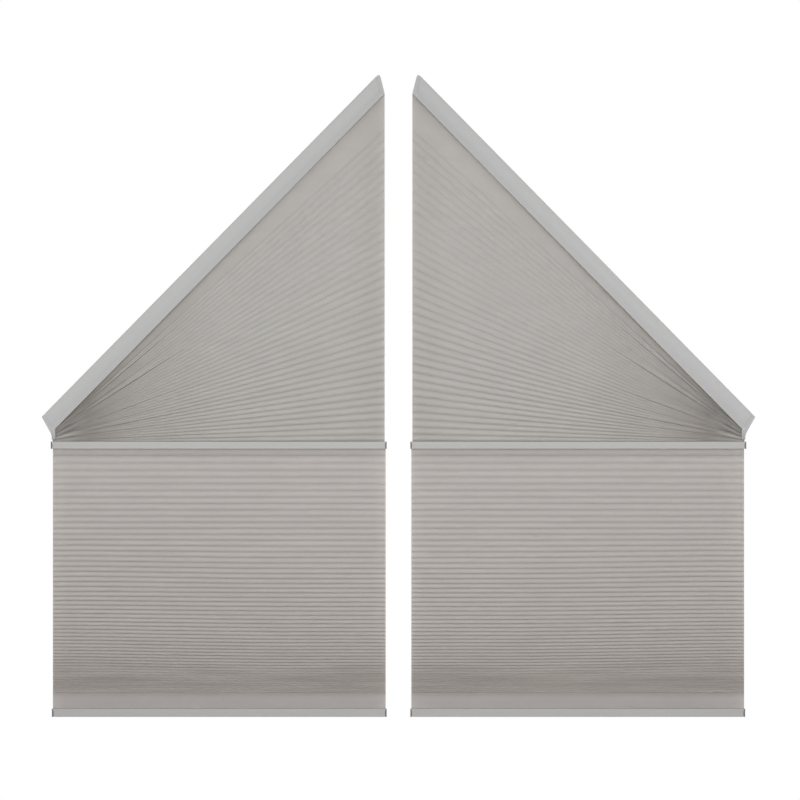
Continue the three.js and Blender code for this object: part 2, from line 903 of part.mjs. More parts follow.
// Cradle and pulley over each place where a cord drops; side points from the motor to it
function pulleyPlace(side) {
  const drop = side < 0 ? liftPlaces[0] : liftPlaces[1];
  return drop - side * pulleyGrooveRadius;
}

function cradle(side) {
  const x = pulleyPlace(side);
  const half = cradleLength / 2;
  const baseShape = outlined(rectangle(x - half, -motorHalf, x + half, motorHalf, capRound));
  const base = alongZ(baseShape, cavityFloor, cavityFloor + motorFloor);
  const near = pulleyWidth / 2 + gap;
  const reachX = cheekLength / 2;
  const low = cavityFloor + motorFloor / 2;
  const cheekShape = outlined(rectangle(x - reachX, low, x + reachX, cavityRoof, capRound / 2));
  const cheeks = [-1, 1].map((face) => {
    const inner = face * near;
    const outer = face * (near + cheekThickness);
    return alongY(cheekShape, Math.min(inner, outer), Math.max(inner, outer));
  });
  const frame = solid(joined(base, ...cheeks));
  const reach = 2 * (near + cheekThickness + overrun);
  const axleHole = rod(axleRadius + gap, reach, holeSteps).translate(x, 0, pulleyLevel);
  const cordHole = rod(cordHoleRadius, 2 * motorFloor).rotateX(Math.PI / 2);
  cordHole.translate(x + side * pulleyGrooveRadius, 0, cavityFloor + motorFloor / 2);
  return geometryOf(frame.subtract(solid(axleHole)).subtract(solid(cordHole)));
}

function pulley(side) {
  const half = pulleyWidth / 2;
  const stub = half + gap + cheekThickness;
  const profile = [
    [0, -stub],
    [axleRadius, -stub],
    [axleRadius, -half],
    [pulleyRadius, -half],
    [pulleyGrooveRadius, 0],
    [pulleyRadius, half],
    [axleRadius, half],
    [axleRadius, stub],
    [0, stub],
  ];
  const points = profile.map(([radius, height]) => new THREE.Vector2(radius, height));
  return new THREE.LatheGeometry(points, pulleySteps).translate(pulleyPlace(side), 0, pulleyLevel);
}

// Anchor that ends a lift cord: it drops through the bottom wall and its flange rests on it
function cordAnchor(x) {
  const profile = [
    [anchorHoleRadius, 0],
    [anchorRadius, 0],
    [anchorRadius, railWall + gap],
    [anchorFlangeRadius, railWall + gap],
    [anchorFlangeRadius, railWall + gap + anchorFlange],
    [anchorHoleRadius, railWall + gap + anchorFlange],
  ];
  return turned(profile, pulleySteps).translate(x, 0, 0);
}

function hubPin() {
  const length = headrailDepth - 2 * earThickness - 2 * gap;
  const x = fanWidth - hubInset;
  const low = fanBase + gap;
  const z = (low + fanTop(x)) / 2;
  return rod(hubRadius, length, pulleySteps).translate(x, 0, z);
}

// One blind: its pieces by frame, each as name, finish and geometry
function blindPieces() {
  const sloped = [
    ["headrail", paint, headrail()],
    ["headrail_peak_cap", paint, peakCap()],
    ["headrail_corner_cap", paint, cornerCap()],
    ["fan_head_strip", stripPlastic, fanHeadStrip()],
    ["upper_bracket", steel, headrailBracket(headrailBracketInset)],
    ["lower_bracket", steel, headrailBracket(headrailRun - headrailBracketInset)],
  ];
  const fixed = [
    ["fan_fabric", cloth, fanFabric()],
    ["hub_pin", stripPlastic, hubPin()],
  ];
  const middleBox = middleRailCavity();
  const middle = [
    ["fan_foot_strip", stripPlastic, fanFootStrip()],
    ["middle_rail", paint, middleRail()],
    ["middle_inner_cap", capPlastic, railCap(railStart - gap, -1, middleRailHeight, middleBox)],
    ["middle_outer_cap", capPlastic, railCap(middleRailEnd + gap, 1, middleRailHeight, middleBox)],
    ["middle_inner_bracket", steel, middleBracket(middleBracketInset)],
    ["middle_outer_bracket", steel, middleBracket(clothWidth - middleBracketInset)],
    ["drop_head_strip", stripPlastic, dropHeadStrip()],
    ["motor_case", casePlastic, motorCase()],
    ["motor_lid", casePlastic, motorLid()],
    ["cord_drum", drumPlastic, cordDrum()],
    ["spring_drum", steel, springDrum()],
    ["inner_cradle", casePlastic, cradle(-1)],
    ["outer_cradle", casePlastic, cradle(1)],
    ["inner_pulley", drumPlastic, pulley(-1)],
    ["outer_pulley", drumPlastic, pulley(1)],
  ];
  const bottomBox = bottomRailCavity();
  const bottom = [
    ["bottom_rail", paint, bottomRail()],
    ["bottom_inner_cap", capPlastic, railCap(railStart - gap, -1, bottomRailHeight, bottomBox)],
    ["bottom_outer_cap", capPlastic, railCap(bottomRailEnd + gap, 1, bottomRailHeight, bottomBox)],
    ["inner_anchor", casePlastic, cordAnchor(liftPlaces[0])],
    ["outer_anchor", casePlastic, cordAnchor(liftPlaces[1])],
  ];
  const hanging = [
    ["tail_panel", cloth, tailPanel().translate(0, 0, tailBase)],
    ["drop_fabric", cloth, dropFabric().translate(0, 0, dropBase)],
  ];
  return [
    { pieces: sloped, across: fanSetback, height: fanPeak, turn: slope },
    { pieces: fixed, across: fanSetback, height: 0, turn: 0 },
    { pieces: middle, across: 0, height: middleBase, turn: 0 },
    { pieces: bottom, across: 0, height: 0, turn: 0 },
    { pieces: hanging, across: 0, height: 0, turn: 0 },
  ];
}

function meshOf(name, finish, geometry) {
  const mesh = new THREE.Mesh(geometry, new THREE.MeshStandardMaterial(finish));
  mesh.name = name;
  return mesh;
}

// The right blind stands at +X; the left one is its mirror image
const frames = blindPieces();
const blinds = new THREE.Group();
for (const [side, sign] of [["left", -1], ["right", 1]]) {
  const blind = new THREE.Group();
  blind.position.set((sign * pairGap) / 2, -clothToWall, 0);
  blind.scale.x = sign;
  frames.forEach(({ pieces, across, height, turn }) => {
    const frame = new THREE.Group();
    frame.position.set(across, 0, height);
    frame.rotation.y = turn;
    pieces.forEach(([name, finish, geometry]) => frame.add(meshOf(`${side}_${name}`, finish, geometry)));
    blind.add(frame);
  });
  blinds.add(blind);
}

export default blinds;
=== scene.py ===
# Looks of a mirrored pair of cellular blinds for a gable window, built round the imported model.
# Lengths are metres. X runs across the wall, Y into it and Z up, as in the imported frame.
import math

import bmesh
import bpy
import numpy as np
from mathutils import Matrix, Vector, noise
from mathutils.geometry import tessellate_polygon


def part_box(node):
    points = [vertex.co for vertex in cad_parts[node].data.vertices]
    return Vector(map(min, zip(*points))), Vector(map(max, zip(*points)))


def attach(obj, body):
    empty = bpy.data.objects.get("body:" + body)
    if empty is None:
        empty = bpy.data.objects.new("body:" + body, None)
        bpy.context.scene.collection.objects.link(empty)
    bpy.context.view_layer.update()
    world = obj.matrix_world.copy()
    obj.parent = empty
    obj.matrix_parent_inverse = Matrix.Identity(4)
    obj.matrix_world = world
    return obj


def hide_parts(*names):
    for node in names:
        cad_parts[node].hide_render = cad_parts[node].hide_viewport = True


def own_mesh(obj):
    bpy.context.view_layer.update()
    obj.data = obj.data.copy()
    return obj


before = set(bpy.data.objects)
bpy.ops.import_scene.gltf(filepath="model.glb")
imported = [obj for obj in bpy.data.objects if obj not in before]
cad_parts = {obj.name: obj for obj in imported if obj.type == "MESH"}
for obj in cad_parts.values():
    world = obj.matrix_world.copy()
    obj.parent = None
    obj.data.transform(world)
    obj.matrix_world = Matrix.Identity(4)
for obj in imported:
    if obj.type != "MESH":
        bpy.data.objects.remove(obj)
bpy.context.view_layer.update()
MM = 0.001

# Places taken from the frame
cloth_low, cloth_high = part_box("right_drop_fabric")
rail_low, rail_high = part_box("right_middle_rail")
fan_low, fan_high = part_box("right_fan_fabric")
tail_low, tail_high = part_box("right_tail_panel")
base_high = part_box("right_bottom_rail")[1]
hub_low, hub_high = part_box("right_hub_pin")
INNER_EDGE = cloth_low.x
CLOTH_WIDTH = cloth_high.x - cloth_low.x
CLOTH_MIDDLE = (cloth_low.y + cloth_high.y) / 2
DROP_TOP = rail_low.z
DROP_FOOT = cloth_low.z

# Room left beside a neighbour, where cloth meets a rail, and beyond the hub pin
GAP = 0.3 * MM
SEAM = 0.05 * MM
PIN_COVER = 0.5 * MM
FAN_FOOT = rail_high.z + SEAM
FAN_EDGE = fan_low.x
FAN_END = hub_high.x + PIN_COVER - FAN_EDGE

# Honeycomb
CLOTH_PITCH = 20 * MM
FOLD_LENGTH = 11.5 * MM
GLUE_HALF = 3 * MM
CLOTH_THICKNESS = 0.4 * MM
SLOPE = math.radians(45.5)
FAN_PEAK = fan_high.z + (GAP - SEAM) / math.cos(SLOPE)
GORE_HEIGHT = 70 * MM
GORE_DEPTH = 6.5 * MM
HUB_GORE_DEPTH = 11.5 * MM

# The first and the last cell as shares of the cloth's pitch, and the power that leads between them
FAN_SHARES = (1.02, 0.72, 1)
DROP_SHARES = (0.704, 0.22, 1.23)

# A cell's front, from its upper glue line down: shares of its half height
PROFILE_SHARES = (1, 0.9, 0.68, 0.36, 0, -0.36, -0.68, -0.9)

# Pitches of an open and a shut cell, the powers that their walls bow to, and how these change between
OPEN_PITCH = 14 * MM
SHUT_PITCH = 4.4 * MM
OPEN_POWER = 1.6
SHUT_POWER = 5.0
CLOSING_POWER = 1.5

# Places along a wall, and halvings, when its run is solved from its length
WALL_PLACES = 25
RUN_HALVINGS = 16

# The most of a cell's half height that a wall takes up, and the least depth of the hollow inside
WALL_SHARE = 0.3
INSIDE_DEPTH = 0.3 * MM

# Folds that turn by more than this stay sharp
SHARP_ANGLE = math.radians(38)

# Noise on the cloth: a seed, and how many waves lie in a metre across and up
HEIGHT_WAVES = (3.7, (7, 9))
DEPTH_WAVES = (8.1, (9, 30))
BAND_WAVES = (5.3, (8, 20))
STREAKS = (6.3, (5, 150))
BLOTCHES = (2.9, (26, 55))
NOISE_DIMENSION = 1.0
NOISE_STEP = 2.0
NOISE_OCTAVES = 2

# Camera: level, square to the wall and far off, as the photograph is. Rows and columns are its pixels.
METRES_PER_PIXEL = 1.95 * MM
CAMERA_DISTANCE = 6
PHOTO_SIZE = 800
BOTTOM_ROW = 716.9
MIDDLE_COLUMN = 398.5


def make_camera():
    data = bpy.data.cameras.new("camera")
    data.type = "ORTHO"
    data.ortho_scale = PHOTO_SIZE * METRES_PER_PIXEL
    camera = bpy.data.objects.new("camera", data)
    bpy.context.scene.collection.objects.link(camera)
    across = (PHOTO_SIZE / 2 - MIDDLE_COLUMN) * METRES_PER_PIXEL
    up = (BOTTOM_ROW - PHOTO_SIZE / 2) * METRES_PER_PIXEL
    camera.location = (across, -CAMERA_DISTANCE, up)
    camera.rotation_euler = (math.pi / 2, 0, 0)
    bpy.context.scene.camera = camera


# Light, floor and background
WORLD_LIGHT = 0.49
FLOOR_DROP = 0.3
FLOOR_SIZE = 60
FLOOR_WHITE = (0.86, 0.86, 0.86)
FLOOR_GLOW = 0.45

# Lamps: name, place, target, size in metres and power in watts
LAMPS = (
    ("key", (-0.05, -2.2, 0.78), (0, 0, 0.68), (3.6, 0.7), 20.5),
    ("fill", (1.2, -4.4, 1.9), (0, 0, 0.6), (3.0, 2.0), 13),
    ("back", (0.7, 3.4, 1.4), (0, 0, 0.6), (3.2, 2.2), 26),
)


def make_world():
    world = bpy.data.worlds.new("studio")
    bpy.context.scene.world = world
    world.use_nodes = True
    nodes, links = world.node_tree.nodes, world.node_tree.links
    nodes.clear()
    output = nodes.new("ShaderNodeOutputWorld")
    mix = nodes.new("ShaderNodeMixShader")
    light = nodes.new("ShaderNodeBackground")
    light.inputs["Color"].default_value = (1, 1, 1, 1)
    light.inputs["Strength"].default_value = WORLD_LIGHT
    white = nodes.new("ShaderNodeBackground")
    white.inputs["Color"].default_value = (1, 1, 1, 1)
    white.inputs["Strength"].default_value = 1
    path = nodes.new("ShaderNodeLightPath")
    seen = path.outputs["Is Camera Ray"]
    for name in ("Is Glossy Ray", "Is Transmission Ray"):
        either = nodes.new("ShaderNodeMath")
        either.operation = "MAXIMUM"
        links.new(seen, either.inputs[0])
        links.new(path.outputs[name], either.inputs[1])
        seen = either.outputs[0]
    links.new(seen, mix.inputs["Fac"])
    links.new(light.outputs[0], mix.inputs[1])
    links.new(white.outputs[0], mix.inputs[2])
    links.new(mix.outputs[0], output.inputs["Surface"])


def area_light(name, place, target, size, power):
    data = bpy.data.lights.new(name, "AREA")
    data.shape = "RECTANGLE"
    data.size, data.size_y = size
    data.energy = power
    lamp = bpy.data.objects.new(name, data)
    bpy.context.scene.collection.objects.link(lamp)
    lamp.location = place
    lamp.rotation_euler = (Vector(target) - Vector(place)).to_track_quat("-Z", "Y").to_euler()


def make_floor():
    bpy.ops.mesh.primitive_plane_add(size=FLOOR_SIZE, location=(0, 0, -FLOOR_DROP))
    floor = bpy.context.object
    floor.name = "floor"
    floor.data.materials.append(floor_finish())


def floor_finish():
    """Matt white that looks paler to the camera than it lights the object."""
    material = bpy.data.materials.new("floor_finish")
    material.use_nodes = True
    nodes, links = material.node_tree.nodes, material.node_tree.links
    shader = nodes["Principled BSDF"]
    shader.inputs["Base Color"].default_value = (*FLOOR_WHITE, 1)
    shader.inputs["Roughness"].default_value = 0.9
    shader.inputs["Specular IOR Level"].default_value = 0.2
    shader.inputs["Emission Color"].default_value = (1, 1, 1, 1)
    path = nodes.new("ShaderNodeLightPath")
    glow = nodes.new("ShaderNodeMath")
    glow.operation = "MULTIPLY"
    glow.inputs[1].default_value = FLOOR_GLOW
    links.new(path.outputs["Is Camera Ray"], glow.inputs[0])
    links.new(glow.outputs[0], shader.inputs["Emission Strength"])
    return material


# Materials: each is grown from noise in the object's own coordinates
class Finish:
    """A node material with short ways to add noise, ramps and bumps."""

    def __init__(self, name, roughness, specular, metallic=0.0):
        self.material = bpy.data.materials.new(name)
        self.material.use_nodes = True
        self.nodes = self.material.node_tree.nodes
        self.links = self.material.node_tree.links
        self.shader = self.nodes["Principled BSDF"]
        self.shader.inputs["Roughness"].default_value = roughness
        self.shader.inputs["Specular IOR Level"].default_value = specular
        self.shader.inputs["Metallic"].default_value = metallic
        self.height = None

    def space(self, stretch=(1, 1, 1), turn=0.0):
        """Object coordinates, first turned about Y and then stretched."""
        place = self.nodes.new("ShaderNodeTexCoord").outputs["Object"]
        if turn:
            turned = self.nodes.new("ShaderNodeMapping")
            turned.inputs["Rotation"].default_value = (0, turn, 0)
            self.links.new(place, turned.inputs["Vector"])
            place = turned.outputs["Vector"]
        scaled = self.nodes.new("ShaderNodeMapping")
        scaled.inputs["Scale"].default_value = stretch
        self.links.new(place, scaled.inputs["Vector"])
        return scaled.outputs["Vector"]

    def up(self, turn=0.0):
        """Height in the object's own frame, square to a slope."""
        parts = self.nodes.new("ShaderNodeSeparateXYZ")
        self.links.new(self.space(turn=turn), parts.inputs["Vector"])
        return parts.outputs["Z"]

    def noise(self, scale, space, detail=2.0, rough=0.5):
        texture = self.nodes.new("ShaderNodeTexNoise")
        texture.inputs["Scale"].default_value = scale
        texture.inputs["Detail"].default_value = detail
        texture.inputs["Roughness"].default_value = rough
        self.links.new(space, texture.inputs["Vector"])
        return texture.outputs["Fac"]

    def spread(self, value, low, high, to_low, to_high):
        """Maps low..high to to_low..to_high, without going past either."""
        ramp = self.nodes.new("ShaderNodeMapRange")
        ramp.inputs["From Min"].default_value = low
        ramp.inputs["From Max"].default_value = high
        ramp.inputs["To Min"].default_value = to_low
        ramp.inputs["To Max"].default_value = to_high
        self.links.new(value, ramp.inputs["Value"])
        return ramp.outputs["Result"]

    def mixed(self, share, first, second):
        """The mix of two colours; each is a colour or a socket."""
        mix = self.nodes.new("ShaderNodeMix")
        mix.data_type = "RGBA"
        self.links.new(share, mix.inputs["Factor"])
        for socket, colour in ((mix.inputs[6], first), (mix.inputs[7], second)):
            if isinstance(colour, tuple):
                socket.default_value = (*colour, 1)
            else:
                self.links.new(colour, socket)
        return mix.outputs[2]

    def shaded(self, colour, factor):
        """A colour darkened or lightened by a factor socket."""
        scale = self.nodes.new("ShaderNodeVectorMath")
        scale.operation = "SCALE"
        self.links.new(colour, scale.inputs[0])
        self.links.new(factor, scale.inputs["Scale"])
        return scale.outputs["Vector"]

    def bump(self, value, distance):
        """Adds one more layer of relief, distance metres deep."""
        bump = self.nodes.new("ShaderNodeBump")
        bump.inputs["Distance"].default_value = distance
        self.links.new(value, bump.inputs["Height"])
        if self.height:
            self.links.new(self.height, bump.inputs["Normal"])
        self.height = bump.outputs["Normal"]
        self.links.new(self.height, self.shader.inputs["Normal"])

    def colour(self, socket):
        self.links.new(socket, self.shader.inputs["Base Color"])

    def roughness(self, socket):
        self.links.new(socket, self.shader.inputs["Roughness"])

    def let_through(self, colour, share):
        """Lets a share of the light through, as thin cloth does."""
        glow = self.nodes.new("ShaderNodeBsdfTranslucent")
        glow.inputs["Color"].default_value = (*colour, 1)
        mix = self.nodes.new("ShaderNodeMixShader")
        mix.inputs["Fac"].default_value = share
        self.links.new(self.shader.outputs[0], mix.inputs[1])
        self.links.new(glow.outputs[0], mix.inputs[2])
        self.links.new(mix.outputs[0], self.nodes["Material Output"].inputs["Surface"])


def tinted(colour, factor):
    """A colour made lighter or darker by a factor, up to white."""
    return tuple(min(1.0, channel * factor) for channel in colour)


# One powder coat: RAIL_GREY, for the slope rails and their caps, is a little lighter than LEVEL_GREY as
# painted light
RAIL_GREY = (0.507, 0.507, 0.504)
LEVEL_GREY = (0.49, 0.486, 0.473)
CAP_GREY = (0.185, 0.185, 0.19)
CLOTH_GREY = (0.745, 0.728, 0.705)
LEVEL_CLOTH_GREY = (0.742, 0.711, 0.691)
BAND_CLOTH_GREY = (0.76, 0.739, 0.733)
STRIP_GREY = (0.68, 0.68, 0.66)
MOTOR_WHITE = (0.76, 0.76, 0.73)
DRUM_WHITE = (0.85, 0.84, 0.8)
ZINC_GREY = (0.46, 0.47, 0.48)
SPRING_GREY = (0.36, 0.37, 0.38)

# Where its painted shade is dense, cloth takes this warmer tint in full, painted for light that bounces
# between packed folds, and none of it from the loose shade on
DENSE_PAINTED_TINT = (1.0, 0.965, 0.93)
DENSE_SHADE = 0.6
LOOSE_SHADE = 0.95

# The light that the cloth lets through: its colour and its share
CLOTH_THROUGH = (0.9, 0.882, 0.863)
THROUGH_SHARE = 0.45


def rail_paint(name, colour, turn, fade):
    """Satin powder coat on an extrusion: fine orange peel, long draw lines and a slight drift in tone.

    fade holds two heights and the painted shades at them, measured square to the slope: the coat is
    painted darker towards the lower one.
    """
    finish = Finish(name, roughness=0.42, specular=0.45)
    drift = finish.noise(3.0, finish.space((1, 1, 2.5), turn), detail=3)
    lines = finish.noise(260.0, finish.space((0.012, 1, 1), turn), detail=2)
    peel = finish.noise(900.0, finish.space(), detail=1)
    base = finish.mixed(drift, tinted(colour, 0.965), tinted(colour, 1.035))
    # Painted shade: the coat darkens towards the lower height in fade
    base = finish.shaded(base, finish.spread(finish.up(turn), *fade))
    finish.colour(finish.shaded(base, finish.spread(lines, 0.3, 0.7, to_low=0.985, to_high=1.015)))
    finish.roughness(finish.spread(peel, 0.3, 0.7, to_low=0.38, to_high=0.48))
    finish.bump(lines, distance=0.03 * MM)
    finish.bump(peel, distance=0.04 * MM)
    return finish.material


def moulded_plastic(name, colour, roughness, grain=1400.0, fade=None):
    """Moulded plastic: a fine spark grain, faint flow marks and rubbed patches.

    fade holds two heights and the painted shades at them: the plastic is painted darker towards the lower
    one.
    """
    finish = Finish(name, roughness, specular=0.4)
    flow = finish.noise(45.0, finish.space((1, 1, 0.4)), detail=3)
    grain_height = finish.noise(grain, finish.space(), detail=1)
    rubbed = finish.noise(160.0, finish.space(), detail=4, rough=0.65)
    base = finish.mixed(flow, tinted(colour, 0.93), tinted(colour, 1.07))
    # Painted shade, darker towards the lower height in fade
    if fade:
        base = finish.shaded(base, finish.spread(finish.up(), *fade))
    finish.colour(base)
    finish.roughness(finish.spread(rubbed, 0.35, 0.65, to_low=roughness - 0.08, to_high=roughness + 0.1))
    finish.bump(grain_height, distance=0.05 * MM)
    return finish.material


def zinc_plate(name, colour):
    """Zinc-plated strip steel: rolled lines and cloudy bright patches."""
    finish = Finish(name, roughness=0.34, specular=0.5, metallic=1.0)
    lines = finish.noise(700.0, finish.space((0.03, 1, 1)), detail=2)
    cloud = finish.noise(60.0, finish.space(), detail=4)
    base = finish.mixed(cloud, tinted(colour, 0.85), tinted(colour, 1.15))
    finish.colour(finish.shaded(base, finish.spread(lines, 0.3, 0.7, to_low=0.94, to_high=1.05)))
    finish.roughness(finish.spread(cloud, 0.3, 0.7, to_low=0.28, to_high=0.44))
    finish.bump(lines, distance=0.02 * MM)
    return finish.material


def honeycomb_cloth(name, colour):
    """Spun polyester: fibres that mostly run along the folds, felted clouds, a soft sheen and the painted
    shade stored on the mesh.
    """
    finish = Finish(name, roughness=0.88, specular=0.25)
    fibres = finish.noise(1500.0, finish.space((0.12, 1, 1)), detail=3, rough=0.6)
    cross = finish.noise(1300.0, finish.space((1, 1, 0.2)), detail=2, rough=0.6)
    cloud = finish.noise(28.0, finish.space((0.35, 1, 1.4)), detail=4, rough=0.6)
    broad = finish.noise(2.2, finish.space((1, 1, 0.8)), detail=2)
    # The shade attribute holds painted shade and highlight, with some random tone; it darkens the colour
    # and, where dense, warms it
    node = finish.nodes.new("ShaderNodeAttribute")
    node.attribute_name = "shade"
    shade = node.outputs["Fac"]
    base = finish.mixed(broad, tinted(colour, 0.975), tinted(colour, 1.025))
    dense = tuple(channel * tint for channel, tint in zip(colour, DENSE_PAINTED_TINT))
    base = finish.mixed(finish.spread(shade, DENSE_SHADE, LOOSE_SHADE, to_low=0, to_high=1), dense, base)
    base = finish.shaded(base, finish.spread(cloud, 0.3, 0.7, to_low=0.975, to_high=1.025))
    base = finish.shaded(base, finish.spread(fibres, 0.25, 0.75, to_low=0.96, to_high=1.04))
    finish.colour(finish.shaded(base, shade))
    finish.shader.inputs["Sheen Weight"].default_value = 0.15
    finish.shader.inputs["Sheen Roughness"].default_value = 0.5
    finish.bump(fibres, distance=0.06 * MM)
    finish.bump(cross, distance=0.04 * MM)
    finish.let_through(CLOTH_THROUGH, THROUGH_SHARE)
    return finish.material


# Honeycomb meshes
def cell_heights(total, shares):
    """Heights of the cells that fill a height, from the first one down to the last."""
    first, last, bias = shares
    mean = last + (first - last) / (bias + 1)
    count = round(total / (CLOTH_PITCH * mean))
    weights = [last + (first - last) * (1 - i / (count - 1)) ** bias for i in range(count)]
    return [weight * total / sum(weights) for weight in weights]


def roundness(height):
    """The power that a cell's walls bow to: nearly straight when open, full when shut."""
    closed = np.clip((OPEN_PITCH - height) / (OPEN_PITCH - SHUT_PITCH), 0, 1)
    return OPEN_POWER + (SHUT_POWER - OPEN_POWER) * closed**CLOSING_POWER


def fold_run(height):
    """How far a cell's nose stands out from its glue line, with each wall FOLD_LENGTH long."""
    height = np.asarray(height, float)
    power = roundness(height)[..., None]
    places = np.linspace(0, 1, WALL_PLACES)
    steps = np.diff(places**power)
    drops = np.diff(places) * height[..., None] / 2
    low, high = np.zeros_like(height), np.full_like(height, FOLD_LENGTH)
    for _ in range(RUN_HALVINGS):
        run = (low + high) / 2
        length = np.hypot(drops, steps * run[..., None]).sum(-1)
        low, high = np.where(length < FOLD_LENGTH, run, low), np.where(length < FOLD_LENGTH, high, run)
    return (low + high) / 2


def smooth(low, high, value):
    """A share that eases from 0 at low to 1 at high."""
    share = np.clip((value - low) / (high - low), 0, 1)
    return share * share * (3 - 2 * share)


def noise_at(kind, across, up):
    """Smooth noise about zero at one place."""
    seed, scale = kind
    place = Vector((across * scale[0], up * scale[1], seed))
    return noise.fractal(place, NOISE_DIMENSION, NOISE_STEP, NOISE_OCTAVES)


def noise_over(kind, across, up):
    """The same noise over two arrays of one length."""
    return np.array([noise_at(kind, a, b) for a, b in zip(across, up)])


def cell_points(top, low, top_depth, nose_depth, low_depth):
    """Outer and inner points of each cell's front half, as (depth, height) arrays.

    Each argument has one row for each column of the mesh and one entry for each cell.
    """
    middle, half = (top + low) / 2, (top - low) / 2
    wall = np.minimum(CLOTH_THICKNESS, WALL_SHARE * half)
    power = roundness(2 * half)
    outer, inner = [], [(top_depth - wall / 2, top - wall)]
    for share in PROFILE_SHARES:
        root = top_depth if share > 0 else low_depth
        depth = nose_depth - (nose_depth - root) * abs(share) ** power
        outer.append((depth, middle + half * share))
        if abs(share) < 1:
            inner.append((np.maximum(depth - wall, INSIDE_DEPTH), middle + (half - wall) * share))
    inner.append((low_depth - wall / 2, low + wall))
    return outer, inner


def honeycomb(name, across, outer, inner, last, side, edge, lift=None):
    """A closed mesh of hollow cells.

    across holds each column's place along the folds. outer and inner are the points of the
    front half as (depth, height) arrays, last is the outer point under the last cell, and edge
    is how far from the middle of the pair the first column lies.
    lift moves the finished points: it takes and gives an array of (along, depth, height).
    """
    columns = len(across)
    cells = outer[0][0].shape[1]
    per_cell = len(outer)
    chain = np.zeros((columns, cells * per_cell + 1, 2))
    for i, (depth, up) in enumerate(outer):
        chain[:, i:-1:per_cell, 0] = depth
        chain[:, i:-1:per_cell, 1] = up
    chain[:, -1, 0], chain[:, -1, 1] = last
    hollow = np.stack([np.stack(pair, -1) for pair in inner], 2)
    points, offsets = [], {}

    def add(key, array, facing):
        offsets[key] = sum(len(p) for p in points)
        flat = array.reshape(columns, -1, 2)
        along = np.repeat(across[:, None], flat.shape[1], 1)
        points.append(np.stack([along, facing * flat[..., 0], flat[..., 1]], -1).reshape(-1, 3))
        return flat.shape[1]

    outer_row = add("front", chain, -1)
    add("back", chain, 1)
    inner_row = add("front_in", hollow, -1)
    add("back_in", hollow, 1)
    faces = []

    def strip(a, b, row_a, row_b, turned):
        """Faces between two lines of points that run along the columns."""
        c = np.arange(columns - 1)
        quad = np.stack([a + c * row_a, a + (c + 1) * row_a, b + (c + 1) * row_b, b + c * row_b], -1)
        faces.append(quad[:, ::-1] if turned else quad)

    front, back = offsets["front"], offsets["back"]
    front_in, back_in = offsets["front_in"], offsets["back_in"]
    for i in range(outer_row - 1):
        strip(front + i, front + i + 1, outer_row, outer_row, True)
        strip(back + i, back + i + 1, outer_row, outer_row, False)
    strip(front, back, outer_row, outer_row, False)
    strip(front + outer_row - 1, back + outer_row - 1, outer_row, outer_row, True)
    ring = len(inner)
    for k in range(cells):
        start = k * ring
        for i in range(ring - 1):
            strip(front_in + start + i, front_in + start + i + 1, inner_row, inner_row, False)
            strip(back_in + start + i, back_in + start + i + 1, inner_row, inner_row, True)
        strip(front_in + start, back_in + start, inner_row, inner_row, True)
        end = start + ring - 1
        strip(front_in + end, back_in + end, inner_row, inner_row, False)

    # The faces that close the first and the last column, cell by cell
    ends = []
    for column, turned in ((0, False), (columns - 1, True)):
        front_end, back_end = front + column * outer_row, back + column * outer_row
        front_hole, back_hole = front_in + column * inner_row, back_in + column * inner_row
        caps = []
        for k in range(cells):
            for i in range(per_cell):
                a, b = k * per_cell + i, k * ring + i
                caps.append([front_end + a, front_end + a + 1, front_hole + b + 1, front_hole + b])
                caps.append([back_end + a + 1, back_end + a, back_hole + b, back_hole + b + 1])
            if k + 1 < cells:
                joint, below = (k + 1) * per_cell, (k + 1) * ring
                caps.append([front_end + joint, front_hole + below, front_hole + below - 1])
                caps.append([back_end + joint, back_hole + below - 1, back_hole + below])
                f, b = front_hole + below, back_hole + below
                caps.append([f - 1, f, b, b - 1])
        caps.append([front_end, front_hole, back_hole, back_end])
        hole_foot, foot = cells * ring - 1, outer_row - 1
        caps.append([front_hole + hole_foot, front_end + foot, back_end + foot, back_hole + hole_foot])
        ends += [cap[::-1] if turned else cap for cap in caps]

    place = np.concatenate(points)
    if lift:
        place = lift(place)
    place[:, 0] = side * (edge + place[:, 0])
    place[:, 1] += CLOTH_MIDDLE
    quads = np.concatenate(faces).tolist() + ends
    if side < 0:
        quads = [face[::-1] for face in quads]
    mesh = bpy.data.meshes.new(name)
    mesh.from_pydata(place.tolist(), [], quads)
    mesh.validate()
    mesh.shade_smooth()
    mesh.set_sharp_from_angle(angle=SHARP_ANGLE)
    return add_object(name, mesh)


def add_object(name, mesh):
    piece = bpy.data.objects.new(name, mesh)
    bpy.context.scene.collection.objects.link(piece)
    return piece


def give_shade(piece, values):
    """Stores the painted shade and highlight of the cloth at each vertex."""
    attribute = piece.data.attributes.new("shade", "FLOAT", "POINT")
    attribute.data.foreach_set("value", values.astype(np.float32))


def shade_outside(shade, grid):
    """Paints shade and highlight onto the outer points: grid is by column, by cell and by point of the
    profile.
    """
    rows = np.concatenate([grid.reshape(len(grid), -1), np.ones((len(grid), 1))], 1).ravel()
    shade[: 2 * rows.size] *= np.tile(rows, 2)


def local_places(piece, edge):
    """Each vertex as (distance from the inner edge, depth, height)."""
    place = np.empty(len(piece.data.vertices) * 3)
    piece.data.vertices.foreach_get("co", place)
    place = place.reshape(-1, 3)
    place[:, 0] = np.abs(place[:, 0]) - edge
    return place


# How near each point of the profile lies to a glue line, from 0 to 1: it weights the painted shade at glue
# lines
GLUED_SHARES = np.maximum(0, 2 * np.abs(PROFILE_SHARES) - 1)

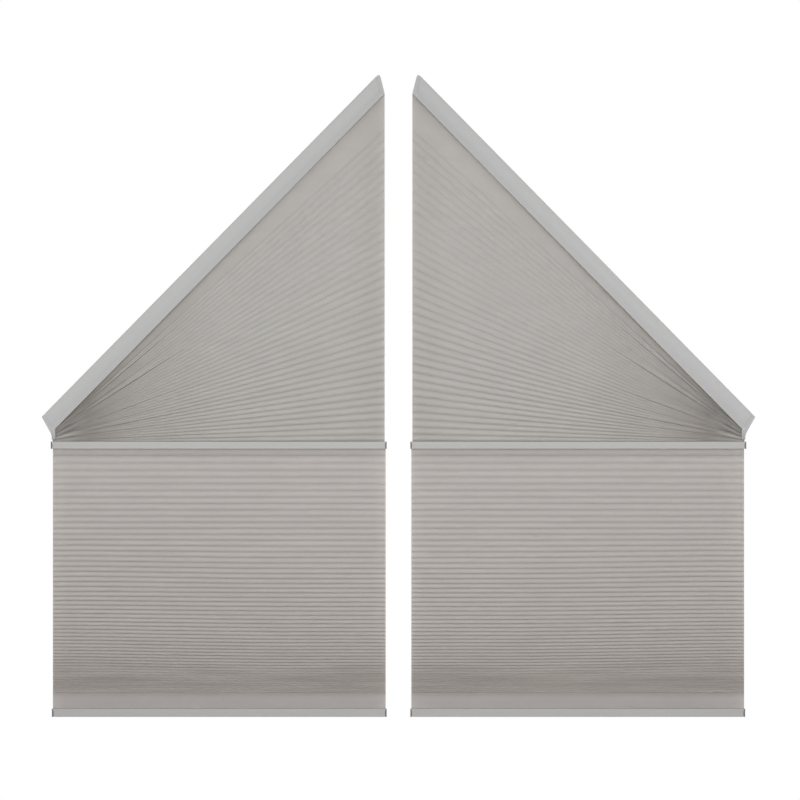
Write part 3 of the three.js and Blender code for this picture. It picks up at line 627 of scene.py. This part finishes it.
# The hanging section: how deep its valleys are as shares of the pitch, shut and from OPENED on
DROP_COLUMNS = 44
OPEN_VALLEY_SHARE = 0.3
STACK_VALLEY_SHARE = 0.1
FIRST_VALLEY_SHARE = 0.12
OPENED = 9 * MM

# Its waves up and down, at the top and at the foot, and in depth. They fade out over these shares of
# its height towards the ends that are held.
WAVE_TOP = 0.25 * MM
WAVE_LOW = 0.35 * MM
DEPTH_WAVE = 0.5 * MM
HELD_TOP = 0.06
HELD_FOOT = 0.03

# How much higher the folds' outer ends stand than their inner ones, by share of the way down, and the
# share of the width that this lean takes up
LEAN_PLACES = (0, 0.34, 0.44, 0.52, 0.60, 0.68, 0.77, 0.92, 1)
LEANS = (0, 0, 3.5 * MM, 4.7 * MM, 2.6 * MM, 3.8 * MM, 5.2 * MM, 5.0 * MM, 0)
LEAN_REACH = 0.72

# Painted shades of the cells, darker as they pack, and how much more painted shade their glue lines get,
# at pitches in metres
CELL_PITCHES = (4.4 * MM, 5.2 * MM, 5.6 * MM, 5.9 * MM, 6.7 * MM, 8 * MM, 10.5 * MM, 14 * MM)
CELL_SHADES = (0.57, 0.585, 0.735, 0.78, 0.822, 0.877, 0.925, 0.975)
LINE_DARKS = (0.02, 0.04, 0.40, 0.52, 0.36, 0.19, 0.09, 0.03)
# Painted shadow of the middle rail on the first cell
FIRST_CELL_PAINTED_SHADOW = 0.86

# Streaks on the stack: how strong, and the heights above its foot that they fade between
STREAK = 0.14
STACK_TOP = 46 * MM
STREAK_TOP = 1.5 * STACK_TOP

# The strip along the outer edge: its width, how much darker it and the line beside it are, half that
# line's width, and where columns of points stand, measured inwards from the strip
EDGE_BAND = 6 * MM
EDGE_DARK = 0.04
EDGE_LINE_DARK = 0.1
EDGE_LINE_HALF = 0.3 * MM
BAND_LINES = (1.4 * MM, 0.6 * MM, -0.2 * MM, -3 * MM)


def drop_cloth(side, name):
    """The hanging section: horizontal cells that close up towards its foot."""
    foot = tail_high.z + SEAM
    heights = np.array(cell_heights(DROP_TOP - SEAM - foot, DROP_SHARES))
    # The top of each cell, and the foot of the last
    levels = DROP_TOP - SEAM - np.concatenate([[0], np.cumsum(heights)])
    band = CLOTH_WIDTH - EDGE_BAND
    across = np.linspace(0, band - 2 * BAND_LINES[0], DROP_COLUMNS)
    across = np.concatenate([across, [band - line for line in BAND_LINES], [CLOTH_WIDTH]])
    ones = np.ones((len(across), 1))
    top, low = ones * levels[:-1], ones * levels[1:]
    run = fold_run(heights)
    nose = ones * (GLUE_HALF + run)
    opened = smooth(SHUT_PITCH, OPENED, heights)
    share = STACK_VALLEY_SHARE + (OPEN_VALLEY_SHARE - STACK_VALLEY_SHARE) * opened
    valley = GLUE_HALF + run - np.minimum(run, share * heights)
    first = GLUE_HALF + run[:1] - FIRST_VALLEY_SHARE * heights[:1]
    joins = np.concatenate([first, np.minimum(valley[1:], valley[:-1]), valley[-1:]])
    outer, inner = cell_points(top, low, ones * joins[:-1], nose, ones * joins[1:])
    last = (np.full(len(across), joins[-1]), np.full(len(across), levels[-1]))

    def waved(place):
        """Waves the folds a little and lets them lean, without moving the ends that are held."""
        x = place[:, 0]
        down = np.clip((DROP_TOP - place[:, 2]) / (DROP_TOP - DROP_FOOT), 0, 1)
        held = smooth(0, HELD_TOP, down) * smooth(0, HELD_FOOT, 1 - down)
        size = (WAVE_TOP + (WAVE_LOW - WAVE_TOP) * down**2) * held
        lean = np.interp(down, LEAN_PLACES, LEANS) * (0.5 - smooth(0, LEAN_REACH, 1 - x / CLOTH_WIDTH))
        place[:, 2] += size * noise_over(HEIGHT_WAVES, x, place[:, 2]) + lean
        place[:, 1] += DEPTH_WAVE * held * noise_over(DEPTH_WAVES, x, place[:, 2])
        return place

    piece = honeycomb(name, across, outer, inner, last, side, INNER_EDGE, waved)

    # Shades: the darker strip along the outer edge and the streaks of the stack, then painted shade cell
    # by cell, with the middle rail's painted shadow on the first cell
    place = local_places(piece, INNER_EDGE)
    past = place[:, 0] - band
    on_line = np.abs(past + BAND_LINES[1]) < EDGE_LINE_HALF
    shade = (1 - EDGE_DARK * (past > 0)) * (1 - EDGE_LINE_DARK * on_line)
    dark = np.interp(heights, CELL_PITCHES, LINE_DARKS)
    cell = np.interp(heights, CELL_PITCHES, CELL_SHADES)
    cell[0] *= FIRST_CELL_PAINTED_SHADOW
    streaks = noise_over(STREAKS, place[:, 0], place[:, 2])
    shade *= 1 + STREAK * (1 - smooth(STACK_TOP, STREAK_TOP, place[:, 2] - DROP_FOOT)) * streaks
    shade_outside(shade, ones[:, :, None] * (cell[:, None] * (1 - dark[:, None] * GLUED_SHARES)))
    give_shade(piece, shade)
    return piece


FAN_COLUMNS = 66

# Valleys, and the painted shade at their glue lines, down the fan, by share of the tall edge from its foot
# up
DOWN_SHARES = (0, 0.2, 0.4, 0.6, 1)
FAN_VALLEY_SHARES = (0.30, 0.28, 0.21, 0.15, 0.105)
FAN_DARKS = (0.13, 0.10, 0.05, 0.0, 0.0)
CORNER_VALLEY_SHARE = 0.55

# How far and by what power the folds' ends lift at the pinched corner
PINCH_LEAN_SHARE = 0.7
PINCH_LEAN_POWER = 3

# How far the cloth billows between marked folds, and the pitches that the gather fades between
PILLOW = 1.6 * MM
GATHER_NEAR = 3 * MM
GATHER_FAR = 8.5 * MM

# How far the flat gore stands out at its middle
GORE_BULGE = 0.5 * MM

# Painted shade, darker where the folds lie close: shades at pitches in metres
SHADE_PITCHES = (1.2 * MM, 1.8 * MM, 2.6 * MM, 3.6 * MM, 5.6 * MM, 10 * MM, 17 * MM, 21 * MM)
PITCH_SHADES = (0.61, 0.59, 0.555, 0.655, 0.80, 0.915, 0.935, 0.91)

# The tall edge's width and painted shade, the gore's painted shade, and how strong the random blotches on
# packed cloth are
TALL_EDGE = 80 * MM
TALL_EDGE_SHADE = 0.945
GORE_SHADE = 0.995
BLOTCH = 0.07

# Folds that stay deep where the fan is gathered: their share of the tall edge, and how deep
GATHER_SHARES = (0.90, 0.83, 0.72, 0.63, 0.5, 0.375, 0.27, 0.19, 0.125, 0.05)
GATHER_DEPTH_SHARES = (0.9, 1.4, 0.3, 2.1, 0.2, 1.0, 0.3, 1.35, 0.8, 1.1)
PLAIN_DEPTH_SHARE = 0.2
LEAST_DEPTH_SHARE = 0.1

# The shadow line where the fan goes up into the headrail: how dark it is at places from the tall edge
GORE_LINE_PLACES = (0, 50 * MM, 160 * MM, 400 * MM)
GORE_LINE_DARKS = (0.38, 0.34, 0.08, 0.0)

# Creases that run out of the pinched corner: painted shade and highlight by share of its height
CREASE_SHARES = (0, 0.08, 0.165, 0.25, 0.385, 0.49, 0.60, 0.72, 0.79, 0.86, 0.96, 1)
CREASE_PAINTED_SHADES = (0.8, 1.4, 0.6, 1.75, 0.4, 1.35, 0.4, 1.2, 0.6, 1.15, 0.85, 0.95)

# The pitches that the creases, the billow and the marked folds fade between
CREASE_NEAR = 1.4 * MM
CREASE_FAR = 1.65 * MM
LOW_CREASE_FAR = 3.2 * MM
BILLOW_NEAR = 0.6 * CREASE_NEAR
LINE_NEAR = 2.4 * MM
LINE_FAR = 3.2 * MM

# Painted crease shade on one cell, by point of the profile: under the fold above it, over the fold below
# it, and a painted highlight on the nose. Where folds are packed, the second cell over a marked one gets a
# painted highlight, the third painted shade.
UNDER_FOLD_SHARES = (1, 0.9, 0.6, 0.25, 0, 0, 0, 0)
OVER_FOLD_SHARES = (0, 0, 0, 0, 0, 0, 0.1, 0.6)
LIT_NOSE_SHARES = (0, 0, 0, 0.4, 0.8, 1, 0.6, 0)
CREASE_DARK = 0.14
CREASE_LIGHT = 0.09
RAISED_LIGHT = 0.12
RAISED_EDGE = 0.08


def nearest(shares, places, depths, plain):
    """A value for each fold: plain, or the depth of the marked place that is nearest to it."""
    deep = np.full(len(shares), plain)
    for place, depth in zip(places, depths):
        deep[np.argmin(np.abs(shares - place))] = depth
    return deep


def gathered(shares, pitch):
    """Each fold's valley as a share of its pitch, the cloth's billow, and how strongly the fold is marked
    with painted shade.
    """
    near = 1 - smooth(GATHER_NEAR, GATHER_FAR, pitch)
    lines = smooth(LINE_NEAR, LINE_FAR, pitch)
    deep = nearest(shares, GATHER_SHARES, GATHER_DEPTH_SHARES, PLAIN_DEPTH_SHARE)
    far_valley = np.interp(shares, DOWN_SHARES, FAN_VALLEY_SHARES)
    near_valley = CORNER_VALLEY_SHARE * (LEAST_DEPTH_SHARE + (deep - LEAST_DEPTH_SHARE) * lines)
    bounds = np.array((1.0, *GATHER_SHARES, 0.0))[::-1]
    place = np.interp(shares, bounds, np.arange(len(bounds)))
    billow = PILLOW * near * np.abs(np.sin(math.pi * place)) * smooth(BILLOW_NEAR, CREASE_FAR, pitch)
    return far_valley * (1 - near) + near_valley * near, billow, deep * near * lines


def fan_cloth(side, name):
    """The fan: every fold runs from the pinched edge to the tall one."""
    # Levels of the folds, column by column: they narrow towards the pinched edge and lift there
    tall = FAN_PEAK - FAN_FOOT
    heights = cell_heights(tall - GORE_HEIGHT, FAN_SHARES)
    shares = np.concatenate([[1], (tall - GORE_HEIGHT - np.concatenate([[0], np.cumsum(heights)])) / tall])
    shares[-1] = 0
    across = np.linspace(0, FAN_END, FAN_COLUMNS)
    height = tall - across * math.tan(SLOPE)
    lifted = 1 - (1 - shares) ** PINCH_LEAN_POWER
    lean = height[-1] * PINCH_LEAN_SHARE * (lifted - shares)
    level = FAN_FOOT + height[:, None] * shares + lean * (across / FAN_END)[:, None]
    top, low = level[:, :-1], level[:, 1:]

    # How far the noses and the joins between cells stand out
    pitch = top - low
    run = fold_run(pitch)
    nose = GLUE_HALF + run
    even = (height / len(heights))[:, None] * np.ones(len(shares))
    valley_share, billow, mark = gathered(shares, even)
    join_pitch = np.minimum(pitch[:, 1:], np.concatenate([pitch[:, 1:2], pitch[:, 1:-1]], 1))
    join_nose = np.minimum(nose[:, 1:], np.concatenate([nose[:, 1:2], nose[:, 1:-1]], 1))
    join = join_nose - np.minimum(run[:, 1:], valley_share[:, 1:-1] * join_pitch)
    spread_out = smooth(GATHER_NEAR, GATHER_FAR, even[:, :1])
    gore_depth = HUB_GORE_DEPTH + (GORE_DEPTH - HUB_GORE_DEPTH) * spread_out
    top_depth = np.concatenate([gore_depth, join], 1)
    low_depth = np.concatenate([join, join[:, -1:]], 1)
    nose[:, 0] = (top_depth[:, 0] + low_depth[:, 0]) / 2 + GORE_BULGE
    middle_billow = (billow[:, 1:] + billow[:, :-1]) / 2
    nose[:, 1:] += middle_billow[:, 1:]
    top_depth[:, 1:] += billow[:, 1:-1]
    low_depth[:, :-1] += billow[:, 1:-1]
    outer, inner = cell_points(top, low, top_depth, nose, low_depth)
    last = (low_depth[:, -1], level[:, -1])
    piece = honeycomb(name, across, outer, inner, last, side, FAN_EDGE)

    # Painted shade of all points, darker where the folds lie close and along the tall edge, with random
    # blotches on packed cloth
    place = local_places(piece, FAN_EDGE)
    left = (tall - place[:, 0] * math.tan(SLOPE)) / len(heights)
    shade = np.interp(left, SHADE_PITCHES, PITCH_SHADES)
    shade *= TALL_EDGE_SHADE + (1 - TALL_EDGE_SHADE) * smooth(0, TALL_EDGE, place[:, 0])
    packed = 1 - smooth(CREASE_FAR, GATHER_FAR, left)
    shade *= 1 + BLOTCH * packed * noise_over(BLOTCHES, place[:, 0], place[:, 2])

    # Painted shade and highlight of the outer points, cell by cell: marked folds, glue lines, the corner's
    # creases, the gore and its painted shadow line under the headrail
    above, below = mark[:, :-1, None], mark[:, 1:, None]
    dark = above * np.array(UNDER_FOLD_SHARES) + below * np.array(OVER_FOLD_SHARES)
    grid = 1 - CREASE_DARK * dark + CREASE_LIGHT * below * np.array(LIT_NOSE_SHARES)
    packed_folds = 1 - smooth(LINE_FAR, GATHER_FAR, even)
    raised_folds = mark * packed_folds
    grid[:, :-1] += RAISED_LIGHT * raised_folds[:, 2:, None]
    grid[:, :-2] -= RAISED_EDGE * raised_folds[:, 3:, None]
    middles = (shares[1:] + shares[:-1]) / 2
    raised = ((top + low) / 2 - FAN_FOOT) / height[:, None]
    far = smooth(GATHER_NEAR, GATHER_FAR, even[:, 1:, None])
    grid *= 1 - far * np.interp(middles, DOWN_SHARES, FAN_DARKS)[:, None] * GLUED_SHARES
    reach = CREASE_FAR + (LOW_CREASE_FAR - CREASE_FAR) * (1 - raised[..., None]) ** 2
    hub = 1 - smooth(CREASE_NEAR, reach, even[:, 1:, None])
    grid *= 1 + hub * (np.interp(raised, CREASE_SHARES, CREASE_PAINTED_SHADES)[..., None] - 1)
    grid[:, 0] *= GORE_SHADE
    grid[:, 0, 0] *= 1 - np.interp(across, GORE_LINE_PLACES, GORE_LINE_DARKS)
    shade_outside(shade, grid)
    give_shade(piece, shade)

    return piece


# Plain band above the bottom rail: a flat cell of the same cloth on a foot in the rail's groove
BAND_COLUMNS = 40
BAND_ROWS = 12
BASE_STEPS = 4
SHOULDER_STEPS = 5
RAIL_WALL = 1 * MM
BASE_ROUND = 0.6 * MM
SHOULDER_ROUND = 0.8 * MM
BAND_BOW = 0.5 * MM
FOOT_INSET = 8 * MM

# How far the band waves in depth, and the heights that this fades over at its foot and its top
BAND_WAVE = 0.35 * MM
BAND_HELD_FOOT = 8 * MM
BAND_HELD_TOP = 4 * MM

# Painted shade of the band, and of its top, where the stack shadows it, and of its foot, painted lighter,
# against the rest
BAND_SHADE = 0.76
BAND_TOP_SHADE = 0.84
BAND_FOOT_SHADE = 1.07
BAND_FADE = 12 * MM


def band_profile(inset):
    """The band's outline as (depth, height) points, or the outline of its hollow for an inset."""
    half = (tail_high.y - tail_low.y) / 2 - inset
    base = base_high.z + SEAM + inset
    top = tail_high.z - inset
    shoulder = top - SHOULDER_ROUND
    points = []
    for i in range(BASE_STEPS + 1):
        turn = math.pi / 2 * i / BASE_STEPS
        depth = half - BASE_ROUND * (1 - math.sin(turn))
        points.append((depth, base + BASE_ROUND * (1 - math.cos(turn))))
    for i in range(1, BAND_ROWS):
        share = i / BAND_ROWS
        depth = half + BAND_BOW * math.sin(math.pi * share)
        points.append((depth, base + BASE_ROUND + (shoulder - base - BASE_ROUND) * share))
    for i in range(SHOULDER_STEPS + 1):
        turn = math.pi / 2 * i / SHOULDER_STEPS
        depth = half - SHOULDER_ROUND * (1 - math.cos(turn))
        points.append((depth, shoulder + SHOULDER_ROUND * math.sin(turn)))
    points.append((GLUE_HALF - inset / 2, top))
    return points


def tail_cloth(side, name):
    """The plain band: a closed sleeve of cloth with its foot in the bottom rail."""
    front = band_profile(0)
    base = front[0][1]
    foot_top = base_high.z - RAIL_WALL - GAP
    foot = tail_low.z
    strip = (tail_high.y - tail_low.y) / 2
    neck = [(strip, foot), (strip, foot_top), (GLUE_HALF, foot_top), (GLUE_HALF, base)]
    outer = neck + front
    hollow = band_profile(CLOTH_THICKNESS)
    rings = [outer + mirrored(outer), hollow + mirrored(hollow)]
    across = np.linspace(0, CLOTH_WIDTH, BAND_COLUMNS)
    mesh = bmesh.new()
    loops = []
    for x in across:
        loops.append([[mesh.verts.new((x, depth, up)) for depth, up in ring] for ring in rings])
    for before, after in zip(loops, loops[1:]):
        for a, b in zip(before, after):
            for i in range(len(a)):
                k = (i + 1) % len(a)
                mesh.faces.new((a[i], b[i], b[k], a[k]))
    for loop in (loops[0], loops[-1]):
        corners = [[vertex.co for vertex in ring] for ring in loop]
        flat = loop[0] + loop[1]
        for triangle in tessellate_polygon(corners):
            mesh.faces.new([flat[i] for i in triangle])
    for vertex in mesh.verts:
        x, _, up = vertex.co
        if up <= foot_top:
            x = min(max(x, FOOT_INSET), CLOTH_WIDTH - FOOT_INSET)
        free = smooth(0, BAND_HELD_FOOT, up - base) * smooth(0, BAND_HELD_TOP, tail_high.z - up)
        vertex.co.y += BAND_WAVE * free * noise_at(BAND_WAVES, x, up)
        vertex.co.x = side * (INNER_EDGE + x)
        vertex.co.y += CLOTH_MIDDLE
    bmesh.ops.recalc_face_normals(mesh, faces=mesh.faces)
    data = bpy.data.meshes.new(name)
    mesh.to_mesh(data)
    mesh.free()
    data.shade_smooth()
    data.set_sharp_from_angle(angle=SHARP_ANGLE)
    piece = add_object(name, data)
    up = local_places(piece, INNER_EDGE)[:, 2]
    # Painted shadow at the band's top under the stack, and painted light at its foot
    top_shade = BAND_TOP_SHADE + (1 - BAND_TOP_SHADE) * smooth(0, BAND_FADE, tail_high.z - up)
    foot_shade = BAND_FOOT_SHADE + (1 - BAND_FOOT_SHADE) * smooth(0, BAND_FADE, up - base)
    give_shade(piece, BAND_SHADE * top_shade * foot_shade)
    return piece


def mirrored(points):
    """The back half of an outline, from its top down."""
    return [(-depth, up) for depth, up in reversed(points)]


def make_cloth():
    """Makes the cloth pieces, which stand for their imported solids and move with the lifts."""
    cloth = honeycomb_cloth("honeycomb_cloth", LEVEL_CLOTH_GREY)
    slope_cloth = honeycomb_cloth("fan_cloth_finish", CLOTH_GREY)
    band_cloth = honeycomb_cloth("band_cloth_finish", BAND_CLOTH_GREY)
    for name, side in (("left", -1), ("right", 1)):
        drop = drop_cloth(side, f"{name}_drop_cloth")
        drop.data.materials.append(cloth)
        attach(drop, "fixed")
        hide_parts(f"{name}_drop_fabric")
        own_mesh(drop)
        fan = fan_cloth(side, f"{name}_fan_cloth")
        fan.data.materials.append(slope_cloth)
        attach(fan, "fixed")
        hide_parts(f"{name}_fan_fabric")
        tail = tail_cloth(side, f"{name}_tail_cloth")
        tail.data.materials.append(band_cloth)
        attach(tail, f"{name}_bottom")
        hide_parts(f"{name}_tail_panel")


# The headrail's height, where its painted shade changes and half that change's width as shares of it, and
# its painted shades below and above
HEADRAIL_HEIGHT = 35 * MM
HEADRAIL_BREAK = 0.4
HEADRAIL_FADE = 0.12
HEADRAIL_PAINTED_SHADES = (0.95, 1.01)

# Painted shades of the level rails, bottom and middle, and of the corner cap's ears, foot and head: darker
# lower down, where less light falls
LEVEL_PAINTED_SHADES = (0.93, 1.0)
EAR_FADE = 12 * MM
EAR_PAINTED_SHADES = (0.74, 1.0)


def dress_nodes():
    """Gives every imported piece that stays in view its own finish."""
    # Painted shade: the level rails' coat is darker at the bottom rail than at the middle rail
    level = rail_paint("rail_coat", LEVEL_GREY, turn=0, fade=(base_high.z, rail_low.z, *LEVEL_PAINTED_SHADES))
    # Painted shade: the headrail's coat is darker below a line along its face
    lower_edge = FAN_PEAK * math.cos(SLOPE) + FAN_EDGE * math.sin(SLOPE)
    middle = lower_edge + HEADRAIL_HEIGHT * HEADRAIL_BREAK
    half = HEADRAIL_HEIGHT * HEADRAIL_FADE
    fade = (middle - half, middle + half, *HEADRAIL_PAINTED_SHADES)
    slopes = {
        "left": rail_paint("left_slope_coat", RAIL_GREY, turn=SLOPE, fade=fade),
        "right": rail_paint("right_slope_coat", RAIL_GREY, turn=-SLOPE, fade=fade),
    }
    head_caps = moulded_plastic("head_cap_plastic", RAIL_GREY, roughness=0.46)
    # Painted shade: the corner cap's ears are darker towards their foot, where they sit back
    ear_fade = (hub_low.z - EAR_FADE / 2, hub_high.z + EAR_FADE, *EAR_PAINTED_SHADES)
    corner_caps = moulded_plastic("corner_cap_plastic", RAIL_GREY, roughness=0.46, fade=ear_fade)
    caps = moulded_plastic("end_cap_plastic", CAP_GREY, roughness=0.55)
    strips = moulded_plastic("strip_plastic", STRIP_GREY, roughness=0.4, grain=500.0)
    white = moulded_plastic("motor_plastic", MOTOR_WHITE, roughness=0.5)
    drums = moulded_plastic("drum_plastic", DRUM_WHITE, roughness=0.35)
    plate = zinc_plate("bracket_zinc", ZINC_GREY)
    spring = zinc_plate("spring_steel", SPRING_GREY)
    finishes = {
        "middle_rail": level,
        "bottom_rail": level,
        "headrail_peak_cap": head_caps,
        "headrail_corner_cap": corner_caps,
        "middle_inner_cap": caps,
        "middle_outer_cap": caps,
        "bottom_inner_cap": caps,
        "bottom_outer_cap": caps,
        "fan_head_strip": strips,
        "fan_foot_strip": strips,
        "drop_head_strip": strips,
        "hub_pin": strips,
        "motor_case": white,
        "motor_lid": white,
        "inner_cradle": white,
        "outer_cradle": white,
        "inner_anchor": white,
        "outer_anchor": white,
        "cord_drum": drums,
        "inner_pulley": drums,
        "outer_pulley": drums,
        "spring_drum": spring,
        "upper_bracket": plate,
        "lower_bracket": plate,
        "middle_inner_bracket": plate,
        "middle_outer_bracket": plate,
    }
    for name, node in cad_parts.items():
        side, piece = name.split("_", 1)
        finish = slopes[side] if piece == "headrail" else finishes.get(piece)
        if finish:
            node.data.materials.clear()
            node.data.materials.append(finish)


make_camera()
make_world()
for lamp in LAMPS:
    area_light(*lamp)
make_floor()
dress_nodes()
make_cloth()

view = bpy.context.scene.view_settings
view.view_transform = "Standard"
